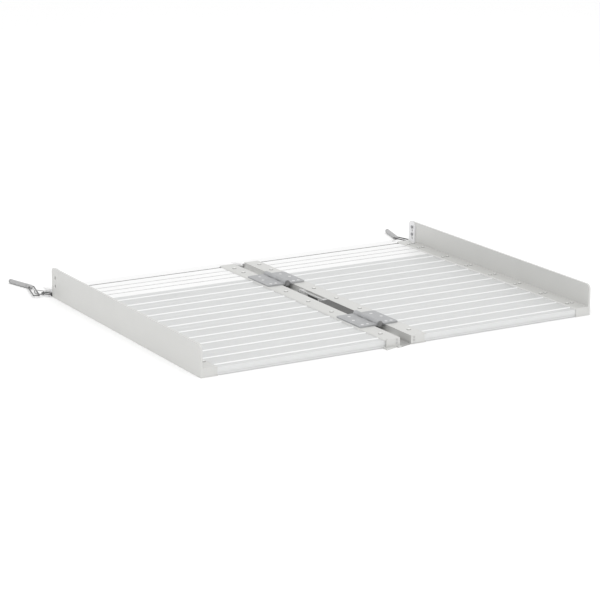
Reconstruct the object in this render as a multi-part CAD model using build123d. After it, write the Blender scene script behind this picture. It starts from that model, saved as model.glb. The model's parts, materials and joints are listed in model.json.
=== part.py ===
"""Two-leaf folding access ramp in ribbed aluminium, with securing pins on short chains.

X runs across the ramp, Y runs from the low front edge to the rear lip, and Z is up.
Every profile is drawn with y = 0 at the front edge of the side walls, and each finished
piece is then moved back by ORIGIN_Y, so that the origin is the middle of the footprint.
The right-hand pieces are drawn, and the left-hand ones are their mirror images.
"""
from build123d import *
import math
import os

# ---- driving dimensions, in millimetres -------------------------------------------------
HALF_WIDTH = 521.0          # outer face of each side wall
DEPTH = 792.0               # length of the walls and rails
WALL_HEIGHT = 75.0
WALL = 5.0                  # thickness of the side walls
WALL_CORNER = 12.0          # rounding of a wall's two top corners
DECK_TOP = 21.0             # top of the rail flanges
FLANGE = 3.0                # thickness of the rail flanges
FLANGE_BEVEL = 2.4          # bevel along the free edge of each top flange
FLANGE_EDGE = 479.0         # inner edge of the side flanges
GAP_HALF = 15.0             # half the gap between the centre rails
RAIL_EDGE = 57.0            # outer edge of the centre rails' flanges
WEB = 3.0                   # thickness of the centre rails' webs

PLANKS = 6
PLANK_PITCH = 107.6
PLANK_JOINT = 0.4           # gap between neighbouring planks
SKIN = 2.0                  # wall thickness of the hollow planks
PLANK_CELLS = 5
RIB_WIDTH = 4.4             # at the foot of a rib
RIB_HEIGHT = 2.2
RIB_SLOPE = 1.4             # how far each sloping side of a rib leans in
RIB_FIRST = 22.5            # first rib's distance from its plank's front edge
RIB_CLEAR = 4.0             # no groove's middle lies nearer than this to a rib's middle
GROOVE_WIDTH = 1.2
GROOVE_DEPTH = 0.7
GROOVE_PITCH = 5.0
RIB_END = 1.5               # the ribs stop this far short of the rails' flanges
END_PLAY = 0.5              # room between a plank's end and the rail's web
FRONT_RECESS = 2.0          # the first plank stands this far behind the rails' front ends
FRONT_LINE_Z = (5.2, 7.2)   # the line along the first plank's front face
FRONT_LINE_DEPTH = 1.0
SKIRT_SETBACK = 0.8         # the skirt under the first plank stands this far behind its face
SKIRT_BOTTOM = 0.6
SKIRT_ROOT = 0.5            # how far the skirt is sunk into its plank
END_CAP = 1.4               # thickness of the caps in the side channels' front ends
END_CAP_SETBACK = 0.4
END_CAP_EDGE = 480.0        # inner edge of those caps

LANDING_END = 781.0
LANDING_END_X = 509.0
LANDING_GROOVES = (34.5, 67.5, 100.5)
LANDING_GROOVE_WIDTH = 3.0
LANDING_GROOVE_DEPTH = 1.6
LANDING_CELLS = 4

LIP_END = 862.0
LIP_THICKNESS = 4.0
LIP_COVER = 3.0             # the lip's tongue lies this far below the top of the landing plank
LIP_TIP_Z = (5.0, 7.5)      # underside and top of the lip's free edge
LIP_AIR = 1.0               # air between the lip's free part and the rails' rear ends
LIP_INNER = 11.0
LIP_OUTER = 515.0
LIP_TONGUE = 34.0           # length of lip held under the landing plank
TONGUE_PLAY = 0.2           # air above and below the tongue
LIP_SCREWS_X = tuple(90.0 + 89.0 * k for k in range(5))
LIP_SLOT = 6.0              # open slot between the landing plank and the lip's raised part
LIP_HOLE_R = 6.5
LIP_HOLE = (497.0, 836.0)

HINGE_LENGTH = 108.0
HINGE_CENTRES = (162.0, 595.0)
LEAF_EDGES = {-1: 54.0, 1: 50.0}    # outer edge of the left and of the right leaf
HINGE_LEAF = 3.5
HINGE_AXIS_Z = 24.0
BARREL_R = 7.5
HINGE_PIN_R = 3.5
HINGE_PLAY = 0.05           # radial play of the pin in its knuckles
KNUCKLES = 5
KNUCKLE_GAP = 0.4
LEAF_RELIEF = 9.2           # a leaf's edge beside the other leaf's knuckles
HINGE_HOLES = ((25.0, -40.0), (39.0, -40.0), (38.0, 2.0), (30.0, 34.0))
HINGE_CORNER = 3.0          # cut off the outer corners of a leaf
HINGE_SCREW_R = 4.0
HINGE_SCREW_SEAT = 1.6      # depth of the flat seats in the leaves
HINGE_SCREW_SUNK = 0.1      # the heads end this far below a leaf's face
BUTTON_R = 6.5              # the flat buttons on the ends of a hinge pin
BUTTON = 1.6
BUTTON_GAP = 0.2

SCREW_ROWS = tuple(48.0 + PLANK_PITCH * k for k in range(PLANKS)) + (703.0, 751.0)
# the centre rails' screws, a row to each plank, stand at slightly different places on the two leaves
RIGHT_RAIL_ROWS = tuple(43.5 + 107.9 * k for k in range(7)) + (753.0,)
LEFT_RAIL_ROWS = tuple(46.0 + 109.0 * k for k in range(7)) + (748.0,)
RAIL_SCREW_X = 37.5
RIVET_X = (489.0, 503.0)
RIVET_HEAD_R = 5.0
SCREW_HEAD_R = 5.6
HEAD_HEIGHT = 2.4
SHANK_R = 2.4
SCREW_PLAY = 0.3            # radial room round a shank in its hole
SHANK_AIR = 0.3             # a shank ends this far before the next piece
HEAD_ROOT = 0.5             # how far a shank reaches into its head
BLIND_SKIN = 1.0            # metal left at the end of a blind hole
PAN_HEAD_R = 4.2            # heads of the lip and bracket screws
PAN_HEAD = 2.0

BRACKET_Y = (760.0, 788.0)
BRACKET_THICKNESS = 3.0
BRACKET_AXIS_Y = 771.5
WALL_HOLES_Z = (52.0, 31.5)
WALL_HOLE_R = 4.0
BRACKET_SCREWS_Z = (61.0, 41.5)

CHAIN_WIRE_R = 1.6
LINK_LENGTH = 31.0
LINK_WIDTH = 16.0
LINK_BEND = 5.2             # bend of a link's wire, at its middle line
LINK_2_WIRE_R = 1.1
LINK_2_WIDTH = 11.0
LINK_2_BEND = 3.6
EYE = (520.5, 798.2, 5.4)   # middle of the eye on the wall's end
EYE_SHANK_X = 518.6
EYE_R = 4.4
EYE_HOLE_R = 2.9
EYE_THICKNESS = 2.2
EYE_NECK = 4.8              # height of the eye's neck
EYE_SHANK_R = 1.7
EYE_SHANK = 8.0             # length of the shank in the wall
COLLAR_X = 516.3            # inner face of the collar at the foot of the eye
COLLAR = 1.4                # its thickness
COLLAR_HEIGHT = 6.0
LINK_1_TURN = 27.0          # degrees outward from the rearward direction
LINK_2_TURN = 36.0
LINK_SLACK = 2.0            # how far the two links lie short of taut
LOOP_TURN = 14.1            # degrees outward from the forward direction
LOOP_REACH = 88.0           # from the pin's hole to the loop's front end
LOOP_HALF = 8.2             # half the width of the loop's end wires
LOOP_BEND = 2.0
PIN_R = 5.5
PIN_LENGTH = 91.0
PIN_HOLE_R = 2.3
PIN_HEAD = 8.0
PIN_NECK_R = 4.7
PIN_RING_AT = 12.0          # a fine turned ring marks the end of the working length
PIN_RING = 1.0              # width of the turned ring
PIN_RING_DEPTH = 0.5
PIN_NECK = 1.5              # width of the groove below the head
PIN_ROUND = 3.6             # rounding of the pin's head
PIN_TURN = 15.2             # degrees outward from the rearward direction
PIN_HOLE_AT = (536.5, 888.5)

TOE_REACH = 17.0            # how far the toe plate stands out in front of the walls
TOE_PLATE = 3.0
TOE_1_FRONT = -6.0          # where the first toe's slant ends, at its inner side
TOE_2_FRONT = -13.0         # tip of the second toe
TOE_GAP_X = (-27.0, -25.5)  # between the two toes
FOOT_EDGE = 13.0            # right-hand edge of the foot plate, under the gap
FOOT_REAR = 60.0
CAP = 2.0                   # thickness of the front caps
CAP_EDGE = 51.0             # outer edge of the front caps
CAP_CORNER = 4.5            # cut off their outer top corners
HANDLE_Y = (371.0, 494.0)
HANDLE_Z = (7.0, 20.5)
HANDLE_X = (2.0, 6.0)
HANDLE_SLOT = (395.0, 461.0)
HANDLE_BOLTS_Y = (380.0, 484.0)
HANDLE_BOLT_Z = 13.7
HANDLE_RIM = 3.0            # width of the handle below and above its slot
HANDLE_CORNER = 4.0
BOSS_R = 6.0
BOLT_HEAD_R = 5.5
BOLT_HEAD = 2.5
BOLT_ROUND = 1.8
PAD_THICKNESS = 2.8
PAD_Y = (396.0, 462.0)
PAD_Z = (4.0, 13.5)
CAP_SCREW_X = 23.0
CAP_SCREWS_Z = (9.5, 16.6)
CAP_SHANK_R = 1.2
CAP_HEAD_R = 2.4
CAP_HEAD = 1.2
STOP_Y = (220.0, 366.0)
STOP_Z = (6.0, 20.5)
STOP_AIR = 0.3              # air between the stop block and the left web
STOP_CHAMFER = 1.5

# ---- sizes that follow from them --------------------------------------------------------
CHANNEL_Z = (FLANGE, DECK_TOP - FLANGE)
PLANK_END = PLANKS * PLANK_PITCH
LINK_PITCH = LINK_LENGTH - 2 * CHAIN_WIRE_R
PIN_TIP_REACH = PIN_LENGTH - PIN_R
REAR_END = PIN_HOLE_AT[1] + PIN_TIP_REACH * math.cos(math.radians(PIN_TURN)) \
    + (PIN_R - PIN_ROUND) * math.sin(math.radians(PIN_TURN))
ORIGIN_Y = (REAR_END - TOE_REACH) / 2
SCREW_HOLE_R = SHANK_R + SCREW_PLAY
TONGUE_SEAT = LANDING_END - LIP_TONGUE - END_PLAY
LIP_SCREWS_Y = TONGUE_SEAT + LIP_TONGUE / 2


def save(node, piece):
    """Write one node, moved so that the origin is the middle of the footprint."""
    placed = Pos(0, -ORIGIN_Y, 0) * piece
    placed.label = node
    export_step(placed, f"parts/{node}.step")


def mirrored(piece):
    """The left-hand twin of a right-hand piece."""
    return mirror(piece, about=Plane.YZ)


def save_pair(name, piece):
    """Write the right-hand piece and its mirror image."""
    save(f"{name}_right", piece)
    save(f"{name}_left", mirrored(piece))


def box(x, y, z):
    """A box between two limits on each axis."""
    size = (x[1] - x[0], y[1] - y[0], z[1] - z[0])
    middle = Pos((x[0] + x[1]) / 2, (y[0] + y[1]) / 2, (z[0] + z[1]) / 2)
    return middle * Box(*size)


def prism_x(points, start, end):
    """A prism along X, with its section given as (y, z) points."""
    outline = Polyline(*[(start, y, z) for y, z in points], close=True)
    return extrude(make_face(outline), amount=end - start, dir=(1, 0, 0))


def prism_z(points, start, end):
    """A prism along Z, with its section given as (x, y) points."""
    outline = Polyline(*[(x, y, start) for x, y in points], close=True)
    return extrude(make_face(outline), amount=end - start, dir=(0, 0, 1))


def prism_y(points, start, end):
    """A prism along Y, with its section given as (x, z) points."""
    outline = Polyline(*[(x, start, z) for x, z in points], close=True)
    return extrude(make_face(outline), amount=end - start, dir=(0, 1, 0))


def top_flange(edge, root):
    """A rail's top flange from its bevelled free edge to its root."""
    lean = math.copysign(FLANGE_BEVEL, root - edge)
    section = [(root, DECK_TOP - FLANGE), (root, DECK_TOP), (edge + lean, DECK_TOP),
               (edge, DECK_TOP - FLANGE_BEVEL), (edge, DECK_TOP - FLANGE)]
    return prism_y(section, 0, DEPTH)


def rod_x(radius, start, end, y, z):
    """A round rod along X."""
    return Pos((start + end) / 2, y, z) * Rot(0, 90, 0) * Cylinder(radius, end - start)


def rod_y(radius, start, end, x, z):
    """A round rod along Y."""
    return Pos(x, (start + end) / 2, z) * Rot(90, 0, 0) * Cylinder(radius, end - start)


def rod_z(radius, start, end, x, y):
    """A round rod along Z."""
    return Pos(x, y, (start + end) / 2) * Cylinder(radius, end - start)


# ---- rails and planks -------------------------------------------------------------------
def wall_plate():
    """The upright wall, with its two top corners rounded."""
    outline = [(0, 0), (DEPTH, 0), (DEPTH, WALL_HEIGHT), (0, WALL_HEIGHT)]
    plate = prism_x(outline, HALF_WIDTH - WALL, HALF_WIDTH)
    corners = plate.edges().filter_by(Axis.X).group_by(Axis.Z)[-1]
    return fillet(corners, WALL_CORNER)


def side_rail():
    """Wall and deck channel in one extrusion; the channel holds the plank ends."""
    inner = HALF_WIDTH - WALL
    bottom = box((FLANGE_EDGE, inner), (0, DEPTH), (0, FLANGE))
    rail = wall_plate() + top_flange(FLANGE_EDGE, inner) + bottom
    for z in WALL_HOLES_Z:
        rail -= rod_x(WALL_HOLE_R, inner - 1, HALF_WIDTH + 1, BRACKET_AXIS_Y, z)
    for z in BRACKET_SCREWS_Z:
        rail -= rod_x(SCREW_HOLE_R, inner - 1, HALF_WIDTH - BLIND_SKIN, BRACKET_AXIS_Y, z)
    rail -= rod_y(EYE_SHANK_R + SCREW_PLAY, DEPTH - EYE_SHANK - 1, DEPTH + 1, EYE_SHANK_X, EYE[2])
    for y in SCREW_ROWS:
        for x in RIVET_X:
            rail -= rod_z(SCREW_HOLE_R, CHANNEL_Z[1] - 1, DECK_TOP + 1, x, y)
    return rail


def centre_rail(rows):
    """A channel along the fold, open towards the planks, drilled at its own screw rows."""
    web = box((GAP_HALF, GAP_HALF + WEB), (0, DEPTH), (0, DECK_TOP))
    bottom = box((GAP_HALF + WEB, RAIL_EDGE), (0, DEPTH), (0, FLANGE))
    rail = web + top_flange(RAIL_EDGE, GAP_HALF + WEB) + bottom
    for y in clear_of_hinges(rows):
        rail -= rod_z(SCREW_HOLE_R, CHANNEL_Z[1] - 1, DECK_TOP + 1, RAIL_SCREW_X, y)
    for middle in HINGE_CENTRES:
        for x, offset in HINGE_HOLES:
            rail -= rod_z(SCREW_HOLE_R, CHANNEL_Z[1] - 1, DECK_TOP + 1, x, middle + offset)
    return rail


def clear_of_hinges(rows):
    """The screw rows that no hinge leaf covers."""
    def covered(y):
        return any(abs(y - middle) < HINGE_LENGTH / 2 + SCREW_HEAD_R for middle in HINGE_CENTRES)
    return [y for y in rows if not covered(y)]


def tread_outline(front, rear, low, high, ribs, grooves, groove_width, groove_depth):
    """A plank's (y, z) outline: flat underneath, sloping ribs and square grooves on top."""
    steps = [(y - RIB_WIDTH / 2, y + RIB_WIDTH / 2, RIB_HEIGHT, RIB_SLOPE) for y in ribs]
    steps += [(y - groove_width / 2, y + groove_width / 2, -groove_depth, 0.0) for y in grooves]
    points = [(front, low), (front, high)]
    for start, end, step, slope in sorted(steps):
        points += [(start, high), (start + slope, high + step), (end - slope, high + step), (end, high)]
    points += [(rear, high), (rear, low)]
    return points


def hollow(piece, front, rear, top, count, start, end):
    """Cut a row of hollow cells along the whole length of a plank."""
    low = CHANNEL_Z[0]
    width = (rear - front - SKIN) / count
    for k in range(count):
        cell_front = front + SKIN + k * width
        piece -= box((start - 1, end + 1), (cell_front, cell_front + width - SKIN),
                     (low + SKIN, top - SKIN))
    return piece


def plank(index):
    """One hollow ribbed plank; the first one has a line along its front face and a skirt under it."""
    front = index * PLANK_PITCH + (FRONT_RECESS if index == 0 else PLANK_JOINT / 2)
    rear = (index + 1) * PLANK_PITCH - PLANK_JOINT / 2
    low, high = CHANNEL_Z
    ribs = [index * PLANK_PITCH + RIB_FIRST + PLANK_PITCH / 2 * k for k in range(2)]
    grooves = [y for y in groove_lines(front, rear) if all(abs(y - rib) > RIB_CLEAR for rib in ribs)]
    outline = tread_outline(front, rear, low, high, ribs, grooves, GROOVE_WIDTH, GROOVE_DEPTH)
    start = GAP_HALF + WEB + END_PLAY
    end = HALF_WIDTH - WALL - END_PLAY
    piece = prism_x(outline, start, end)
    piece = hollow(piece, front, rear, high - GROOVE_DEPTH, PLANK_CELLS, start, end)
    if index == 0:
        piece -= box((start - 1, end + 1), (front - 1, front + FRONT_LINE_DEPTH), FRONT_LINE_Z)
        skirt_front = front + SKIRT_SETBACK
        piece += box((RAIL_EDGE + END_PLAY, FLANGE_EDGE - END_PLAY), (skirt_front, skirt_front + SKIN),
                     (SKIRT_BOTTOM, low + SKIRT_ROOT))
    # the ribs stop short of the flanges that lie on the plank's two ends
    for reach in ((start - 1, RAIL_EDGE + RIB_END), (FLANGE_EDGE - RIB_END, end + 1)):
        piece -= box(reach, (front - 1, rear + 1), (high, high + RIB_HEIGHT + 1))
    return piece


def groove_lines(front, rear):
    """The middle of each fine groove between a plank's edges."""
    count = int((rear - front) / GROOVE_PITCH) - 1
    first = front + (rear - front - (count - 1) * GROOVE_PITCH) / 2
    return [first + GROOVE_PITCH * k for k in range(count)]


def landing_plank():
    """The wider plank at the rear, with three broad grooves and a seat for the lip."""
    front = PLANK_END + PLANK_JOINT / 2
    low, high = CHANNEL_Z
    grooves = [front + y for y in LANDING_GROOVES]
    outline = tread_outline(front, LANDING_END, low, high, [], grooves,
                            LANDING_GROOVE_WIDTH, LANDING_GROOVE_DEPTH)
    start = GAP_HALF + WEB + END_PLAY
    piece = prism_x(outline, start, LANDING_END_X)
    piece = hollow(piece, front, TONGUE_SEAT, high - LANDING_GROOVE_DEPTH, LANDING_CELLS,
                   start, LANDING_END_X)
    tongue_low, tongue_high = lip_levels()
    piece -= box((start - 1, LANDING_END_X + 1), (TONGUE_SEAT, LANDING_END + 1),
                 (tongue_low - TONGUE_PLAY, tongue_high + TONGUE_PLAY))
    for x in LIP_SCREWS_X:
        piece -= rod_z(SCREW_HOLE_R, low - 1, tongue_low, x, LIP_SCREWS_Y)
    return piece


# ---- rear lip ---------------------------------------------------------------------------
def lip_levels():
    """Underside and top of the lip where it is held under the landing plank."""
    top = CHANNEL_Z[1] - LIP_COVER
    return top - LIP_THICKNESS, top


def lip():
    """A level tongue, and a free part that starts at deck level and slopes down behind the rails."""
    low, high = lip_levels()
    bend = LANDING_END + LIP_SLOT
    section = [(LANDING_END - LIP_TONGUE, low), (bend, low), (LIP_END, LIP_TIP_Z[0]),
               (LIP_END, LIP_TIP_Z[1]), (bend, CHANNEL_Z[1]), (bend, high),
               (LANDING_END - LIP_TONGUE, high)]
    plate = prism_x(section, LIP_INNER, LIP_OUTER)
    behind = DEPTH + LIP_AIR
    plate -= box((0, RAIL_EDGE + LIP_AIR), (0, behind), (0, WALL_HEIGHT))
    plate -= box((FLANGE_EDGE - LIP_AIR, HALF_WIDTH + 1), (0, behind), (0, WALL_HEIGHT))
    plate -= rod_z(LIP_HOLE_R, -1, WALL_HEIGHT, *LIP_HOLE)
    for x in LIP_SCREWS_X:
        plate -= rod_z(SCREW_HOLE_R, low - 1, high + 1, x, LIP_SCREWS_Y)
    return plate


def lip_screws():
    """Pan-headed screws, from below, through the landing plank into the tongue."""
    bottom = CHANNEL_Z[0]
    top = lip_levels()[1] - SHANK_AIR
    group = []
    for x in LIP_SCREWS_X:
        head = rod_z(PAN_HEAD_R, bottom - PAN_HEAD, bottom, x, LIP_SCREWS_Y)
        group.append(head + rod_z(SHANK_R, bottom - HEAD_ROOT, top, x, LIP_SCREWS_Y))
    return group


# ---- fasteners --------------------------------------------------------------------------
def dome_head(x, y, z, radius, height):
    """A low round head standing on a flat face."""
    sphere_r = (radius ** 2 + height ** 2) / (2 * height)
    ball = Pos(x, y, z + height - sphere_r) * Sphere(sphere_r)
    return ball & box((x - radius, x + radius), (y - radius, y + radius), (z, z + height))


def deck_fastener(x, y, radius):
    """A round-headed fastener through a rail's top flange."""
    shank = rod_z(SHANK_R, CHANNEL_Z[1] + SHANK_AIR, DECK_TOP + HEAD_ROOT, x, y)
    return dome_head(x, y, DECK_TOP, radius, HEAD_HEIGHT) + shank


def side_rivets():
    """A pair of rivets at each row, on the side rail's top flange."""
    return [deck_fastener(x, y, RIVET_HEAD_R) for y in SCREW_ROWS for x in RIVET_X]


def rail_screws(rows):
    """One screw at each row, on the centre rail's top flange."""
    return [deck_fastener(RAIL_SCREW_X, y, SCREW_HEAD_R) for y in clear_of_hinges(rows)]


def hinge_screws():
    """Low-headed screws, seated flush in the hinge leaves."""
    top = DECK_TOP + HINGE_LEAF
    group = []
    for middle in HINGE_CENTRES:
        for x, offset in HINGE_HOLES:
            y = middle + offset
            seat = top - HINGE_SCREW_SEAT
            head = rod_z(HINGE_SCREW_R, seat, top - HINGE_SCREW_SUNK, x, y)
            group.append(head + rod_z(SHANK_R, CHANNEL_Z[1] + SHANK_AIR, seat + HEAD_ROOT, x, y))
    return group


def bracket_screws():
    """Pan-headed screws, from the inside, through the bracket into the wall."""
    face = HALF_WIDTH - WALL - BRACKET_THICKNESS
    group = []
    for z in BRACKET_SCREWS_Z:
        end = HALF_WIDTH - BLIND_SKIN - SHANK_AIR
        head = rod_x(PAN_HEAD_R, face - PAN_HEAD, face, BRACKET_AXIS_Y, z)
        group.append(head + rod_x(SHANK_R, face - HEAD_ROOT, end, BRACKET_AXIS_Y, z))
    return group


# ---- fittings on the rails --------------------------------------------------------------
def end_bracket():
    """A strip inside the wall's rear end, with a round top and two clear holes."""
    face = HALF_WIDTH - WALL
    reach = (face - BRACKET_THICKNESS, face)
    radius = (BRACKET_Y[1] - BRACKET_Y[0]) / 2
    middle = sum(BRACKET_Y) / 2
    top = WALL_HEIGHT - radius
    strip = box(reach, BRACKET_Y, (DECK_TOP, top)) + rod_x(radius, *reach, middle, top)
    for z in WALL_HOLES_Z:
        strip -= rod_x(WALL_HOLE_R, reach[0] - 1, reach[1] + 1, BRACKET_AXIS_Y, z)
    for z in BRACKET_SCREWS_Z:
        strip -= rod_x(SCREW_HOLE_R, reach[0] - 1, reach[1] + 1, BRACKET_AXIS_Y, z)
    return strip


def stop_block():
    """The plastic block on the right web; it meets the left web and ends the unfolding."""
    block = box((-GAP_HALF + STOP_AIR, GAP_HALF), STOP_Y, STOP_Z)
    return chamfer(block.edges().filter_by(Axis.Y).group_by(Axis.X)[0], STOP_CHAMFER)


def carry_handle():
    """A slotted grip plate that stands off the right web on two bosses."""
    plate = box(HANDLE_X, HANDLE_Y, HANDLE_Z)
    plate = fillet(plate.edges().filter_by(Axis.X), HANDLE_CORNER)
    low = HANDLE_Z[0] + HANDLE_RIM
    high = HANDLE_Z[1] - HANDLE_RIM
    reach = (HANDLE_X[0] - 1, HANDLE_X[1] + 1)
    radius = (high - low) / 2
    plate -= box(reach, (HANDLE_SLOT[0] + radius, HANDLE_SLOT[1] - radius), (low, high))
    for y in (HANDLE_SLOT[0] + radius, HANDLE_SLOT[1] - radius):
        plate -= rod_x(radius, *reach, y, low + radius)
    for y in HANDLE_BOLTS_Y:
        plate += rod_x(BOSS_R, HANDLE_X[1], GAP_HALF, y, HANDLE_BOLT_Z)
        plate -= rod_x(SCREW_HOLE_R, reach[0], GAP_HALF + 1, y, HANDLE_BOLT_Z)
    return plate


def handle_bolts():
    """Round-headed bolts through the handle's bosses into the right web."""
    group = []
    for y in HANDLE_BOLTS_Y:
        head = rod_x(BOLT_HEAD_R, HANDLE_X[0] - BOLT_HEAD, HANDLE_X[0], y, HANDLE_BOLT_Z)
        head = fillet(head.edges().group_by(Axis.X)[0], BOLT_ROUND)
        group.append(head + rod_x(SHANK_R, HANDLE_X[0] - HEAD_ROOT, GAP_HALF, y, HANDLE_BOLT_Z))
    return group


def handle_pad():
    """A strip of soft plastic on the web behind the handle's slot."""
    return box((GAP_HALF - PAD_THICKNESS, GAP_HALF), PAD_Y, PAD_Z)


def toe_plate():
    """The left rail's foot: two slanting toes in front and a floor for the gap's mouth."""
    toes = [(-RAIL_EDGE, 0.0), (-RAIL_EDGE - 2.0, -TOE_REACH), (TOE_GAP_X[0], TOE_1_FRONT),
            (TOE_GAP_X[1], TOE_1_FRONT), (TOE_GAP_X[1], TOE_2_FRONT), (FOOT_EDGE, -1.0),
            (FOOT_EDGE, FOOT_REAR), (-GAP_HALF, FOOT_REAR), (-GAP_HALF, 0.0)]
    return prism_z(toes, 0.0, TOE_PLATE)


def front_cap():
    """A cap over the centre rail's front end, above the foot plate, with a plug inside the rail."""
    outline = [(GAP_HALF, TOE_PLATE), (CAP_EDGE, TOE_PLATE), (CAP_EDGE, DECK_TOP - CAP_CORNER),
               (CAP_EDGE - CAP_CORNER, DECK_TOP), (GAP_HALF, DECK_TOP)]
    plug_end = FRONT_RECESS - SHANK_AIR
    cap = prism_y(outline, -CAP, 0.0) + box((GAP_HALF + WEB, CAP_EDGE), (-CAP, plug_end), CHANNEL_Z)
    for z in CAP_SCREWS_Z:
        cap -= rod_y(CAP_SHANK_R + SCREW_PLAY, -CAP - 1, plug_end + 1, CAP_SCREW_X, z)
    return cap


def cap_screws():
    """Two small screws in each front cap."""
    group = []
    for z in CAP_SCREWS_Z:
        head = rod_y(CAP_HEAD_R, -CAP - CAP_HEAD, -CAP, CAP_SCREW_X, z)
        end = FRONT_RECESS - SHANK_AIR
        group.append(head + rod_y(CAP_SHANK_R, -CAP - HEAD_ROOT, end, CAP_SCREW_X, z))
    return group


def side_end_cap():
    """A thin cap that closes the side channel's front end, in front of the first plank."""
    reach = (END_CAP_SETBACK, END_CAP_SETBACK + END_CAP)
    return box((END_CAP_EDGE, HALF_WIDTH - WALL), reach, CHANNEL_Z)


# ---- hinges -----------------------------------------------------------------------------
def knuckle_span(middle, index):
    """Front and rear end of one knuckle."""
    length = HINGE_LENGTH / KNUCKLES
    start = middle - HINGE_LENGTH / 2 + index * length
    return start + KNUCKLE_GAP / 2, start + length - KNUCKLE_GAP / 2


def hinge_leaf(middle, side):
    """A leaf with its knuckles: the left one (side -1) has three, the right one two."""
    own = range(0 if side < 0 else 1, KNUCKLES, 2)
    half = HINGE_LENGTH / 2
    cut = HINGE_CORNER
    edge = LEAF_EDGES[side]
    corner = [(LEAF_RELIEF, middle - half), (edge - cut, middle - half), (edge, middle - half + cut),
              (edge, middle + half - cut), (edge - cut, middle + half), (LEAF_RELIEF, middle + half)]
    leaf = prism_z([(side * x, y) for x, y in corner], DECK_TOP, DECK_TOP + HINGE_LEAF)
    for index in own:
        start, end = knuckle_span(middle, index)
        neck = sorted((0.0, side * (LEAF_RELIEF + 1.0)))
        leaf += box(neck, (start, end), (DECK_TOP, DECK_TOP + HINGE_LEAF))
        leaf += rod_y(BARREL_R, start, end, 0, HINGE_AXIS_Z)
    leaf -= rod_y(HINGE_PIN_R + HINGE_PLAY, middle - half - 1, middle + half + 1, 0, HINGE_AXIS_Z)
    top = DECK_TOP + HINGE_LEAF
    for x, offset in HINGE_HOLES:
        place = (side * x, middle + offset)
        leaf -= rod_z(HINGE_SCREW_R + 0.3, top - HINGE_SCREW_SEAT, top + 1, *place)
        leaf -= rod_z(SCREW_HOLE_R, DECK_TOP - 1, top, *place)
    return leaf


def hinge_pin(middle):
    """The hinge's pin, with a flat button at each end."""
    reach = HINGE_LENGTH / 2 + BUTTON_GAP
    pin = rod_y(HINGE_PIN_R, middle - reach - BUTTON / 2, middle + reach + BUTTON / 2, 0, HINGE_AXIS_Z)
    for start in (middle - reach - BUTTON, middle + reach):
        pin += rod_y(BUTTON_R, start, start + BUTTON, 0, HINGE_AXIS_Z)
    return pin


# ---- chain and securing pin -------------------------------------------------------------
def rearward(angle):
    """Unit direction on the ground, turned outward from the rearward direction."""
    return Vector(math.sin(math.radians(angle)), math.cos(math.radians(angle)), 0)


def forward(angle):
    """Unit direction on the ground, turned outward from the forward direction."""
    return Vector(math.sin(math.radians(angle)), -math.cos(math.radians(angle)), 0)


def chain_eye():
    """An eye screw in the wall's rear end; its flat ring stands along the ramp."""
    x, y, z = EYE
    reach = (x - EYE_THICKNESS / 2, x + EYE_THICKNESS / 2)
    neck = box(reach, (DEPTH + COLLAR / 2, y), (z - EYE_NECK / 2, z + EYE_NECK / 2))
    ring = rod_x(EYE_R, *reach, y, z) + neck
    ring -= rod_x(EYE_HOLE_R, reach[0] - 1, reach[1] + 1, y, z)
    height = (z - COLLAR_HEIGHT / 2, z + COLLAR_HEIGHT / 2)
    collar = box((COLLAR_X, reach[1]), (DEPTH, DEPTH + COLLAR), height)
    return ring + collar + rod_y(EYE_SHANK_R, DEPTH - EYE_SHANK, DEPTH + HEAD_ROOT, EYE_SHANK_X, z)


def wire_ring(path, wire_r):
    """A closed wire ring along a flat path."""
    section = Plane(path @ 0, z_dir=path % 0) * Circle(wire_r)
    return sweep(section, path=path)


def chain_link(width, bend, wire_r):
    """An oval link lying flat, with its length along Y."""
    return wire_ring(RectangleRounded(width - 2 * wire_r, LINK_PITCH, bend).wire(), wire_r)


def link_1_tip():
    """The far end of the first link's wire; its near end is in the middle of the eye."""
    return Vector(*EYE) + rearward(LINK_1_TURN) * LINK_PITCH


def link_1():
    """First chain link: it hangs in the eye and lies level."""
    middle = (Vector(*EYE) + link_1_tip()) / 2
    return Pos(*middle) * Rot(0, 0, -LINK_1_TURN) * chain_link(LINK_WIDTH, LINK_BEND, CHAIN_WIRE_R)


def link_2():
    """Second, finer chain link: it stands on its edge and hooks into the first one."""
    start = link_1_tip() - rearward(LINK_1_TURN) * (CHAIN_WIRE_R + LINK_2_WIRE_R + LINK_SLACK)
    middle = start + rearward(LINK_2_TURN) * (LINK_PITCH / 2)
    link = Rot(0, 0, -LINK_2_TURN) * Rot(0, 90, 0) * chain_link(LINK_2_WIDTH, LINK_2_BEND, LINK_2_WIRE_R)
    return Pos(middle.X, middle.Y, LINK_2_WIDTH / 2) * link


def pin_loop():
    """The long wire loop; its rear end runs through the pin's cross hole."""
    hole = Vector(*PIN_HOLE_AT, PIN_R)
    across = forward(90 - PIN_TURN)
    front = hole + forward(LOOP_TURN) * LOOP_REACH
    side = rearward(90 - LOOP_TURN) * (LOOP_HALF * math.cos(math.radians(LOOP_TURN + PIN_TURN)))
    corners = [hole + across * LOOP_HALF, front + side, front - side, hole - across * LOOP_HALF]
    outline = FilletPolyline(*corners, radius=LOOP_BEND, close=True)
    return wire_ring(Wire(outline.edges()), CHAIN_WIRE_R)


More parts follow.
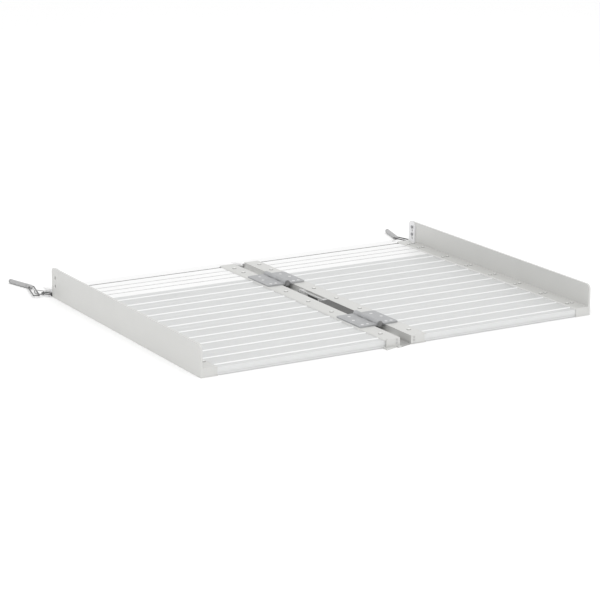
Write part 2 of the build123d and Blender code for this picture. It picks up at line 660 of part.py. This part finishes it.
def securing_pin(side):
    """A round pin with a ball end, a cross hole for its loop and a domed head."""
    neck = PIN_TIP_REACH - PIN_HEAD
    ring = PIN_RING_AT
    tip = PIN_TIP_REACH
    flat = PIN_R - PIN_ROUND
    half_turn = PIN_ROUND * math.sqrt(0.5)
    outline = ThreePointArc((0, -PIN_R), (PIN_R * math.sqrt(0.5), -PIN_R * math.sqrt(0.5)), (PIN_R, 0))
    outline += Polyline((PIN_R, 0), (PIN_R, ring), (PIN_R - PIN_RING_DEPTH, ring),
                        (PIN_R - PIN_RING_DEPTH, ring + PIN_RING), (PIN_R, ring + PIN_RING))
    outline += Polyline((PIN_R, ring + PIN_RING), (PIN_R, neck), (PIN_NECK_R, neck),
                        (PIN_NECK_R, neck + PIN_NECK), (PIN_R, neck + PIN_NECK), (PIN_R, tip - PIN_ROUND))
    outline += ThreePointArc((PIN_R, tip - PIN_ROUND),
                             (flat + half_turn, tip - PIN_ROUND + half_turn), (flat, tip))
    outline += Polyline((flat, tip), (0, tip), (0, -PIN_R))
    pin = revolve(make_face(outline.edges()), Axis.Y)
    pin -= rod_x(PIN_HOLE_R, -PIN_R - 1, PIN_R + 1, 0, 0)
    x, y = PIN_HOLE_AT
    return Pos(side * x, y, PIN_R) * Rot(0, 0, -side * PIN_TURN) * pin


# ---- write every node -------------------------------------------------------------------
def main():
    os.makedirs("parts", exist_ok=True)
    save_pair("side_rail", side_rail())
    save("centre_rail_right", centre_rail(RIGHT_RAIL_ROWS))
    save("centre_rail_left", mirrored(centre_rail(LEFT_RAIL_ROWS)))
    for index in range(PLANKS):
        save_pair(f"plank_{index + 1}", plank(index))
    save_pair("landing_plank", landing_plank())
    save_pair("lip", lip())
    save_pair("lip_screws", Compound(children=lip_screws()))
    save_pair("side_rivets", Compound(children=side_rivets()))
    save("rail_screws_right", Compound(children=rail_screws(RIGHT_RAIL_ROWS)))
    save("rail_screws_left", mirrored(Compound(children=rail_screws(LEFT_RAIL_ROWS))))
    save_pair("hinge_screws", Compound(children=hinge_screws()))
    save_pair("end_bracket", end_bracket())
    save_pair("bracket_screws", Compound(children=bracket_screws()))
    save_pair("front_cap", front_cap())
    save_pair("cap_screws", Compound(children=cap_screws()))
    save_pair("side_end_cap", side_end_cap())
    save("stop_block", stop_block())
    save("carry_handle", carry_handle())
    save("handle_bolts", Compound(children=handle_bolts()))
    save("handle_pad", handle_pad())
    save("toe_plate", toe_plate())
    for name, middle in zip(("front", "rear"), HINGE_CENTRES):
        save(f"{name}_hinge_leaf_left", hinge_leaf(middle, -1))
        save(f"{name}_hinge_leaf_right", hinge_leaf(middle, 1))
        save(f"{name}_hinge_pin", hinge_pin(middle))
    save_pair("chain_eye", chain_eye())
    save_pair("chain_link_1", link_1())
    save_pair("chain_link_2", link_2())
    save_pair("pin_loop", pin_loop())
    save("securing_pin_right", securing_pin(1))
    save("securing_pin_left", securing_pin(-1))


main()
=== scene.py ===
"""Looks, light and camera for the two-leaf folding access ramp."""
import json
import math

import bpy
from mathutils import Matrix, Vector

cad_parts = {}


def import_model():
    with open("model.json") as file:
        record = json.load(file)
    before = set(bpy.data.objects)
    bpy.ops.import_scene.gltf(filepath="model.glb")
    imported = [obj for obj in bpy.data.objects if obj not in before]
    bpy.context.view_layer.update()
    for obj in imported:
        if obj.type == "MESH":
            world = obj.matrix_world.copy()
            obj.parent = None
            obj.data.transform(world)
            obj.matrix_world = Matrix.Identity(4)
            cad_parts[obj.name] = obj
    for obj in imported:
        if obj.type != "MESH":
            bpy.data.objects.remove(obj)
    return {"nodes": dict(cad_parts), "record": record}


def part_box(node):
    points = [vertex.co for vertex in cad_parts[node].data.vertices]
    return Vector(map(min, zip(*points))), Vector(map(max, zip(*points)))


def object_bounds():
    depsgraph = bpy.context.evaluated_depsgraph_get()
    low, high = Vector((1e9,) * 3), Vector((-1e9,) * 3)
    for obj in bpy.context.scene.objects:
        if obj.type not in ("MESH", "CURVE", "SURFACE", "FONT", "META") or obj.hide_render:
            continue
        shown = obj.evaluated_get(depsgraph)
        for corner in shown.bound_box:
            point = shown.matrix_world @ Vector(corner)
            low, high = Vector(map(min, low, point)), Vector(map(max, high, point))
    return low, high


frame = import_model()
cad_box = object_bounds()

X, Y, Z = 0, 1, 2
LOW, HIGH = 0, 1              # the two corners of a box

# ---- places on the ramp, in metres ------------------------------------------------------
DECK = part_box("landing_plank_left")[HIGH][Z]         # top face of the planks, under their ribs
GAP_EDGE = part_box("centre_rail_left")[HIGH][X]       # left edge of the gap along the fold
RIB_HIGHLIGHT_LEVELS = (DECK + 0.0002, DECK + 0.0006)          # levels between which the plank's colour turns into the painted highlight of the ribs
GROOVES = (DECK - 0.0020, DECK - 0.0003)             # from below the grooves' floors to near their rims, where the painted groove shade lies
GROOVE_FADE = 0.0005                                 # depth over which a groove's shade comes and goes
GAP_SHADE_EDGE = (GAP_EDGE - 0.0015, GAP_EDGE + 0.0005)   # where the foot plate's painted shade under the gap begins

# ---- colours and shades -----------------------------------------------------------------
RAIL = (0.62, 0.62, 0.605)
TREAD = (0.685, 0.691, 0.688)
RIB_HIGHLIGHT = (0.86, 0.865, 0.865)            # painted highlight on the ribs' tops and flanks, lighter than the plank where light catches them
LANDING = (0.88, 0.88, 0.878)         # the landing planks and lips, whiter than the deck
FACING_SHADE = (0.42, 0.42, 0.42)             # painted shade on end faces and edges that look along one axis
GAP_SHADE = (0.40, 0.40, 0.39)           # painted shade on the foot plate's floor under the gap
CAP_SCREW = (0.5, 0.5, 0.49)
GROOVE_SHADE = 0.3                    # painted shade in the landing grooves, this fraction of the plank's colour
FLOOR_DARK = (0.955, 0.955, 0.955)
FLOOR_LIGHT = (0.965, 0.965, 0.965)
WHITE = (1.0, 1.0, 1.0, 1.0)

# ---- textures ---------------------------------------------------------------------------
MOST_NOISE = (0.3, 0.7)               # a noise's values lie mostly between these two
ACROSS_GRAIN = 900.0                  # scale of the die's drawing lines across the grain
ALONG_GRAIN = 3.0                     # and along it
SCUFF_SIZE = 6.0                      # scuffs are this many times larger than the lines

# ---- floor, light and camera, in metres, degrees and watts ------------------------------
FLOOR_HALF = 30.0                     # half the floor's side
FLOOR_DROP = 0.0002                   # the floor lies this far below the ramp
KEY_PLACE = (-1.0, -3.0, 5.2)
KEY_TARGET = (0.0, 0.0, 0.0)
KEY_SIZE = 4.0
KEY_POWER = 90.0
SKY_STRENGTH = 1.0
AIM = (-0.0088, -0.0142, 0.0)         # the point on the ground that the camera looks at
DISTANCE = 5.3804                     # from the camera to that point
TURN = 29.85                          # the view is turned this far from +Y towards +X
TILT = 14.92                          # the camera looks down by this much
LENS = 132.2                          # in millimetres, like the sensor's width
SENSOR = 36.0
FAR_CLIP = 100.0


# ---- node helpers -----------------------------------------------------------------------
class Shader:
    """A small builder for one procedural material."""

    def __init__(self, name, roughness, metallic=0.0):
        self.material = bpy.data.materials.new(name)
        self.material.use_nodes = True
        self.tree = self.material.node_tree
        self.bsdf = self.tree.nodes["Principled BSDF"]
        self.bsdf.inputs["Metallic"].default_value = metallic
        self.bsdf.inputs["Roughness"].default_value = roughness
        self.place = self.add("ShaderNodeTexCoord").outputs["Object"]

    def add(self, kind, **settings):
        node = self.tree.nodes.new(kind)
        for key, value in settings.items():
            setattr(node, key, value)
        return node

    def link(self, source, target):
        self.tree.links.new(source, target)

    def stretched(self, scale):
        """The place on the piece, scaled differently along each axis."""
        node = self.add("ShaderNodeMapping")
        node.inputs["Scale"].default_value = scale
        self.link(self.place, node.inputs["Vector"])
        return node.outputs["Vector"]

    def noise(self, scale=1.0, detail=3.0, roughness=0.55, stretch=(1.0, 1.0, 1.0)):
        node = self.add("ShaderNodeTexNoise")
        node.inputs["Scale"].default_value = scale
        node.inputs["Detail"].default_value = detail
        node.inputs["Roughness"].default_value = roughness
        self.link(self.stretched(stretch), node.inputs["Vector"])
        return node.outputs["Fac"]

    def ramp(self, value, low, high, bottom=0.0, top=1.0):
        """Map a value's low..high to bottom..top."""
        node = self.add("ShaderNodeMapRange")
        node.inputs["From Min"].default_value = low
        node.inputs["From Max"].default_value = high
        node.inputs["To Min"].default_value = bottom
        node.inputs["To Max"].default_value = top
        self.link(value, node.inputs["Value"])
        return node.outputs["Result"]

    def mix(self, factor, a, b):
        """Colour a where the factor is 0, b where it is 1."""
        node = self.add("ShaderNodeMix", data_type="RGBA")
        self.link(factor, node.inputs["Factor"])
        for value, socket in ((a, node.inputs["A"]), (b, node.inputs["B"])):
            if isinstance(value, tuple):
                socket.default_value = (*value, 1.0)
            else:
                self.link(value, socket)
        return node.outputs["Result"]

    def coordinate(self, vector, axis):
        node = self.add("ShaderNodeSeparateXYZ")
        self.link(vector, node.inputs["Vector"])
        return node.outputs[axis]

    def along(self, axis, low, high):
        """0 before one place along an axis of the piece and 1 beyond another, in metres."""
        return self.ramp(self.coordinate(self.place, axis), low, high)

    def normal(self, axis):
        """1 on faces that look along a world axis, -1 on those that look the other way."""
        return self.coordinate(self.add("ShaderNodeNewGeometry").outputs["Normal"], axis)

    def side_on(self, axis, low, high):
        """1 on faces that look along a world axis, either way."""
        size = self.add("ShaderNodeMath", operation="ABSOLUTE")
        self.link(self.normal(axis), size.inputs[0])
        return self.ramp(size.outputs[0], low, high)

    def shaded(self, noise, colour, dark, light, span=MOST_NOISE):
        """The colour, from dark to light times itself as the noise rises."""
        return self.mix(self.ramp(noise, *span), scaled(colour, dark), scaled(colour, light))

    def marked(self, noise, base, mark, start, full, strength):
        """Marks of another colour over the base, where the noise is highest."""
        return self.mix(self.ramp(noise, start, full, 0.0, strength), base, mark)

    def colour(self, value):
        self.link(value, self.bsdf.inputs["Base Color"])

    def rough(self, noise, least, most):
        """Roughness that goes from least to most as the noise rises."""
        self.link(self.ramp(noise, *MOST_NOISE, least, most), self.bsdf.inputs["Roughness"])

    def bump(self, height, strength, distance):
        node = self.add("ShaderNodeBump")
        node.inputs["Strength"].default_value = strength
        node.inputs["Distance"].default_value = distance
        self.link(height, node.inputs["Height"])
        self.link(node.outputs["Normal"], self.bsdf.inputs["Normal"])


def scaled(colour, factor):
    return tuple(min(1.0, c * factor) for c in colour)


# ---- materials --------------------------------------------------------------------------
def extruded(name, colour, grain, roughness=0.45, ribs=None, grooves=None, shade_facing_axis=None, gap_shade_start=None):
    """Aluminium drawn through a die: fine lines along the grain axis, faint clouding, light scuffs.

    ribs are the levels between which the surface turns into the painted highlight of the rib tops, and
    grooves those between which it takes painted shade in the groove hollows. Faces that look either way
    along the axis given for facing shade are darker with painted shade, and the gap shade range is
    where painted shade begins along X, on the foot plate's floor under the gap.
    """
    shader = Shader(name, roughness, metallic=0.35)
    stretch = tuple(ALONG_GRAIN if axis == grain else ACROSS_GRAIN for axis in (X, Y, Z))
    lines = shader.noise(detail=4.0, roughness=0.6, stretch=stretch)
    cloud = shader.noise(scale=9.0, detail=4.0, roughness=0.6)
    scuffs = shader.noise(detail=5.0, roughness=0.7, stretch=tuple(s / SCUFF_SIZE for s in stretch))
    base = shader.shaded(cloud, colour, dark=0.985, light=1.01)
    base = shader.marked(scuffs, base, scaled(colour, 0.9), start=0.66, full=0.8, strength=0.25)
    # painted highlight on the rib tops, above the given levels
    if ribs is not None:
        base = shader.mix(shader.along(Z, *ribs), base, RIB_HIGHLIGHT)
    # painted shade in the groove hollows, a dark band between the bottom and top levels
    if grooves is not None:
        bottom, top = grooves
        groove_shade_colour = scaled(colour, GROOVE_SHADE)
        groove_shaded = shader.mix(shader.along(Z, bottom - GROOVE_FADE, bottom), base, groove_shade_colour)
        base = shader.mix(shader.along(Z, top - GROOVE_FADE, top), groove_shaded, base)
    # painted shade on faces that look along the given axis, either way
    if shade_facing_axis is not None:
        base = shader.mix(shader.side_on(shade_facing_axis, low=0.9, high=0.95), base, FACING_SHADE)
    # painted shade on the foot plate's floor, from the gap's left edge on along X
    if gap_shade_start is not None:
        base = shader.mix(shader.along(X, *gap_shade_start), base, GAP_SHADE)
    shader.colour(base)
    shader.rough(lines, least=roughness - 0.05, most=roughness + 0.07)
    shader.bump(lines, strength=0.12, distance=0.0002)
    return shader.material


def plated(name, colour, roughness, metallic, mottle=0.12):
    """Zinc-plated or plain steel: a fine crystalline mottle and dull patches."""
    shader = Shader(name, roughness, metallic)
    cloud = shader.noise(scale=60.0, detail=4.0, roughness=0.65)
    speck = shader.noise(scale=1400.0, detail=2.0, roughness=0.5)
    base = shader.shaded(cloud, colour, dark=1 - mottle, light=1 + mottle, span=(0.32, 0.68))
    base = shader.marked(speck, base, scaled(colour, 0.8), start=0.58, full=0.75, strength=0.3)
    shader.colour(base)
    shader.rough(cloud, least=roughness - 0.06, most=roughness + 0.12)
    shader.bump(speck, strength=0.12, distance=0.0002)
    return shader.material


def moulded(name, colour, roughness):
    """Moulded plastic with a fine matt grain."""
    shader = Shader(name, roughness)
    grain = shader.noise(scale=1500.0, roughness=0.6)
    cloud = shader.noise(scale=30.0)
    shader.colour(shader.shaded(cloud, colour, dark=0.85, light=1.2))
    shader.rough(grain, least=roughness - 0.08, most=roughness + 0.08)
    shader.bump(grain, strength=0.3, distance=0.0003)
    return shader.material


def headed(name, top, side, roughness):
    """A round-headed fastener: its flat top, which looks up, in one lighter colour as painted light,
    the steep sides darker in another as painted shade.
    """
    shader = Shader(name, roughness, metallic=0.3)
    speck = shader.noise(scale=700.0, roughness=0.5)
    lit_top = shader.shaded(speck, top, dark=0.95, light=1.04)
    # painted light and shade by facing: faces that look up take the lit top colour, steeper ones the
    # shaded side colour
    flat = shader.ramp(shader.normal(Z), low=0.80, high=0.95)
    shader.colour(shader.mix(flat, side, lit_top))
    shader.rough(speck, least=roughness - 0.05, most=roughness + 0.08)
    shader.bump(speck, strength=0.1, distance=0.0002)
    return shader.material


MATERIALS = {
    "rail": extruded("rail_extrusion", RAIL, Y),
    "tread": extruded("tread_extrusion", TREAD, X, ribs=RIB_HIGHLIGHT_LEVELS),
    "landing": extruded("landing_extrusion", LANDING, X, grooves=GROOVES, shade_facing_axis=X),
    "lip_plate": extruded("lip_plate", LANDING, X, shade_facing_axis=Y),
    "foot_plate": extruded("foot_plate", RAIL, X, gap_shade_start=GAP_SHADE_EDGE),
    "bracket": extruded("bracket_strip", (0.78, 0.78, 0.79), Z),
    "handle": extruded("handle_bar", (0.58, 0.58, 0.58), Y, roughness=0.40),
    # fastener and hinge screw heads: painted light on their tops, painted shade on their sides
    "fastener": headed("zinc_fastener", (0.86, 0.86, 0.85), (0.30, 0.30, 0.29), roughness=0.42),
    "cap_screw": headed("cap_screw", CAP_SCREW, CAP_SCREW, roughness=0.42),
    "hinge_screw": headed("hinge_screw", (0.70, 0.70, 0.70), (0.25, 0.25, 0.25), roughness=0.40),
    "dark_screw": plated("dark_screw", (0.30, 0.30, 0.31), roughness=0.40, metallic=0.4),
    "hinge_steel": plated("hinge_plate", (0.40, 0.405, 0.412), roughness=0.42, metallic=0.5),
    "hinge_pin_steel": plated("hinge_pin", (0.26, 0.26, 0.26), roughness=0.40, metallic=0.5),
    "chain_steel": plated("chain_wire", (0.14, 0.14, 0.14), roughness=0.36, metallic=0.6),
    "pin_steel": plated("turned_pin", (0.44, 0.44, 0.44), roughness=0.36, metallic=0.6, mottle=0.05),
    "black_plastic": moulded("black_plastic", (0.07, 0.07, 0.068), roughness=0.55),
}

for part in frame["record"]["subparts"]:
    node = frame["nodes"][part["node"]]
    node.data.materials.clear()
    node.data.materials.append(MATERIALS[part["material_slot"]])


# ---- floor, light, camera ---------------------------------------------------------------
def floor():
    mesh = bpy.data.meshes.new("floor")
    signs = ((-1, -1), (1, -1), (1, 1), (-1, 1))
    mesh.from_pydata([(x * FLOOR_HALF, y * FLOOR_HALF, 0.0) for x, y in signs], [], [(0, 1, 2, 3)])
    plane = bpy.data.objects.new("floor", mesh)
    plane.location.z = cad_box[LOW][Z] - FLOOR_DROP
    bpy.context.scene.collection.objects.link(plane)
    shader = Shader("studio_floor", roughness=0.9)
    shader.colour(shader.mix(shader.noise(scale=0.6, detail=2.0), FLOOR_DARK, FLOOR_LIGHT))
    mesh.materials.append(shader.material)


def key_light():
    data = bpy.data.lights.new("key_light", "AREA")
    data.shape = "SQUARE"
    data.size = KEY_SIZE
    data.energy = KEY_POWER
    lamp = bpy.data.objects.new("key_light", data)
    lamp.location = KEY_PLACE
    lamp.rotation_euler = (Vector(KEY_TARGET) - Vector(KEY_PLACE)).to_track_quat("-Z", "Y").to_euler()
    bpy.context.scene.collection.objects.link(lamp)


def world():
    scene_world = bpy.data.worlds.new("studio")
    scene_world.use_nodes = True
    background = scene_world.node_tree.nodes["Background"]
    background.inputs["Color"].default_value = WHITE
    background.inputs["Strength"].default_value = SKY_STRENGTH
    bpy.context.scene.world = scene_world


def camera():
    data = bpy.data.cameras.new("camera")
    data.lens = LENS
    data.sensor_width = SENSOR
    data.clip_end = FAR_CLIP
    turn, tilt = math.radians(TURN), math.radians(TILT)
    ahead = Vector((math.sin(turn) * math.cos(tilt), math.cos(turn) * math.cos(tilt), -math.sin(tilt)))
    eye = bpy.data.objects.new("camera", data)
    eye.location = Vector(AIM) - DISTANCE * ahead
    eye.rotation_euler = (math.pi / 2 - tilt, 0.0, -turn)
    bpy.context.scene.collection.objects.link(eye)
    bpy.context.scene.camera = eye


floor()
world()
key_light()
camera()
bpy.context.scene.view_settings.view_transform = "Standard"
